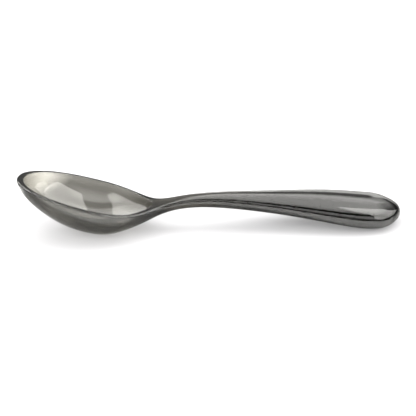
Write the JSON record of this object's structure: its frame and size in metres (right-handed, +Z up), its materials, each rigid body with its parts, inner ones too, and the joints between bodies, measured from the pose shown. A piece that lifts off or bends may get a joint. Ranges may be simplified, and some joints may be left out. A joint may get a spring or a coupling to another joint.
{
  "type": "soup spoon",
  "caption": "One-piece moulded soup spoon in clear smoke-grey plastic, with a deep pointed-oval bowl, an arched neck and a wide drop-shaped handle.",
  "frame": {"origin": "centre of the bounding box, on the table plane under the spoon", "axes": "+X from the bowl towards the end of the handle, +Y to the left of someone looking along +X, +Z up from the table"},
  "size_m": [0.19, 0.0402, 0.0289],
  "materials": {
    "smoke_plastic": "polished, clear, tinted smoke grey through the whole thickness"
  },
  "bodies": {
    "root": {"spoon": "smoke_plastic"}
  },
  "joints": []
}
